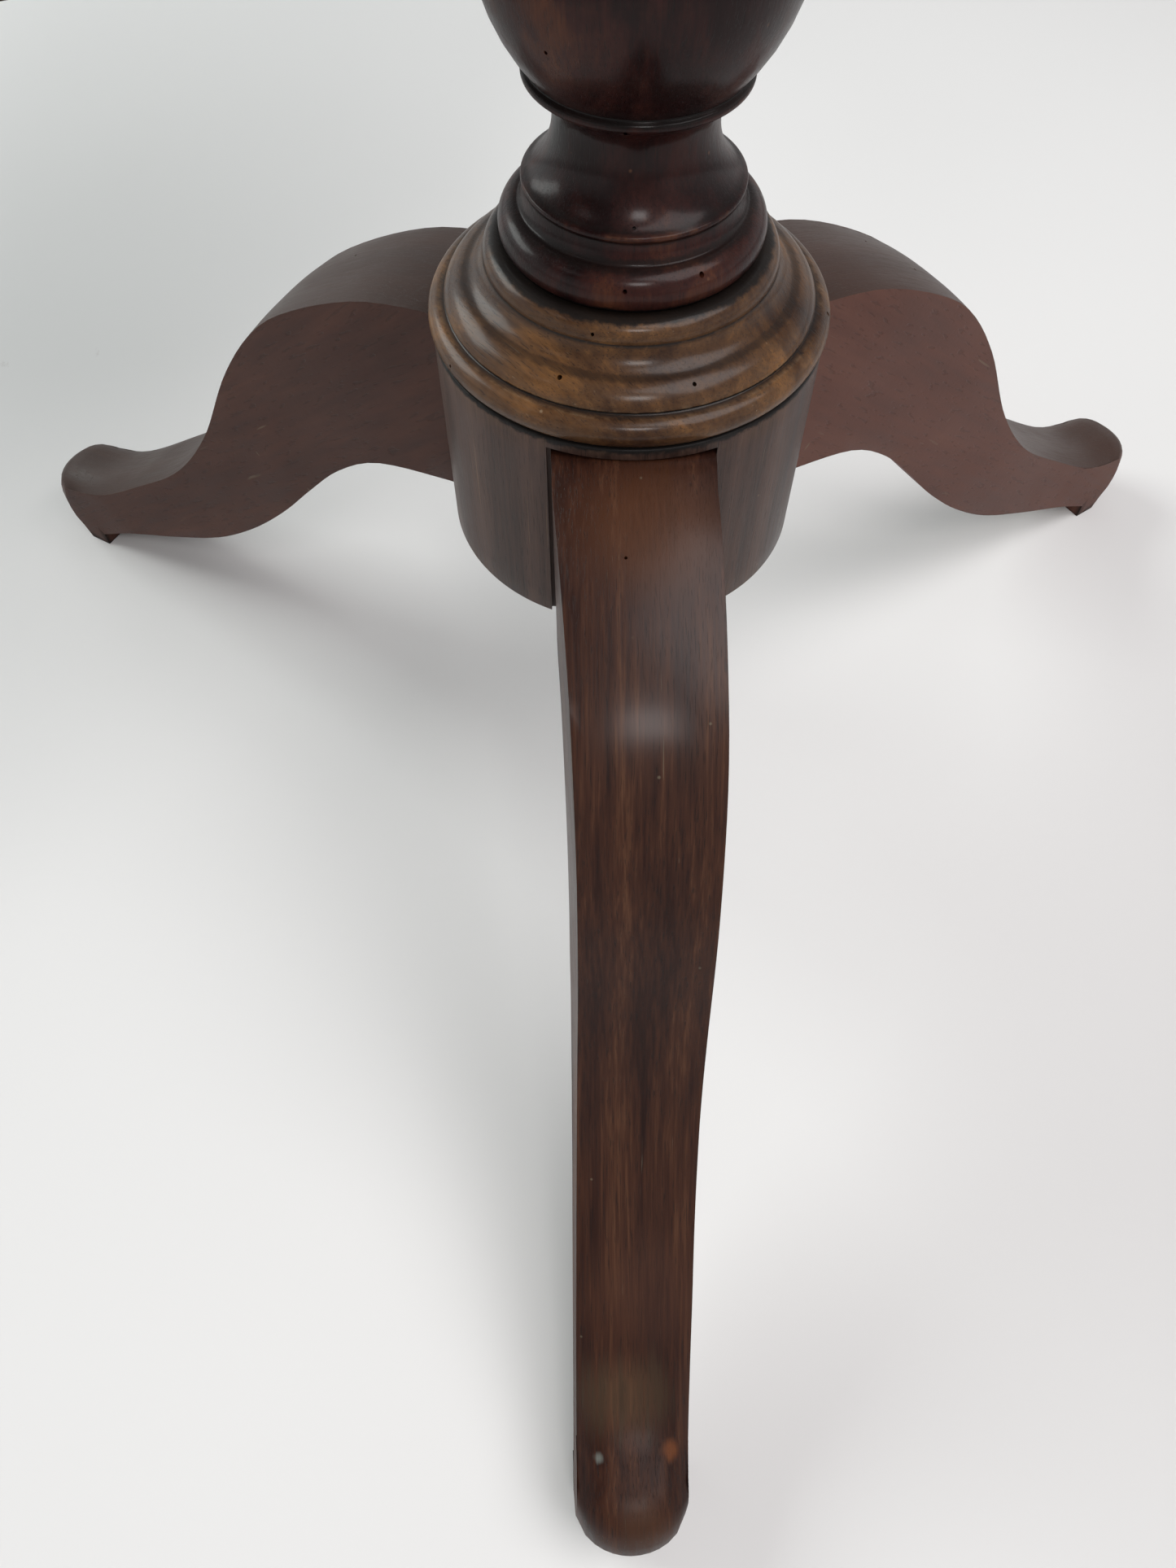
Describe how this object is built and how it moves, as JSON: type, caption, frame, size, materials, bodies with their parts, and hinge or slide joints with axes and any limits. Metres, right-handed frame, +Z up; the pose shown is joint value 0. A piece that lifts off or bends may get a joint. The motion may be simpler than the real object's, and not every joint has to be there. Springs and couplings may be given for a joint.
{
  "type": "tilt top table",
  "caption": "Round tilt top table on a turned pillar with cabriole legs; the top hangs upright behind the block and swings level onto a sliding catch.",
  "frame": {"origin": "on the floor, on the axis of the pillar", "axes": "+Z up; +X is the side that the tilted top hangs on, over the hinge side leg; the pivot axis runs along Y"},
  "size_m": [0.5251, 0.843, 1.1851],
  "materials": {
    "pillar_wood": "waxed",
    "collar_wood": "waxed, worn",
    "drum_wood": "waxed, worn",
    "leg_wood": "waxed, worn",
    "block_wood": "bare, aged",
    "top_wood": "french polished",
    "bearer_wood": "bare, aged",
    "wedge_wood": "bare",
    "iron": "forged, dull",
    "steel": "dull",
    "brass": "tarnished"
  },
  "bodies": {
    "base": {"pillar": "pillar_wood", "collar": "collar_wood", "drum": "drum_wood", "hinge_side_leg": "leg_wood", "left_leg": "leg_wood", "right_leg": "leg_wood", "spider_plate": "iron", "spider_screws": "steel", "block": "block_wood", "tenon_wedge": "wedge_wood", "left_pivot_pin": "steel", "right_pivot_pin": "steel", "keeper_plate": "brass", "keeper_screws": "brass"},
    "top": {"lower_top_board": "top_wood", "middle_top_board": "top_wood", "upper_top_board": "top_wood", "left_bearer": "bearer_wood", "right_bearer": "bearer_wood", "bearer_screws": "steel", "bolt_plate": "brass", "bolt_guides": "brass", "bolt_screws": "brass"},
    "bolt": {"bolt_bar": "brass", "bolt_knob": "brass"}
  },
  "joints": [
    {"name": "top_tilt", "type": "hinge", "parent": "base", "child": "top", "pos_m": [0.078, 0, 0.6856], "axis": [0, -1, 0], "range_deg": [0, 90]},
    {"name": "bolt_slide", "type": "slide", "parent": "top", "child": "bolt", "axis": [0, 0, -1], "range_m": [0, 0.009]}
  ]
}
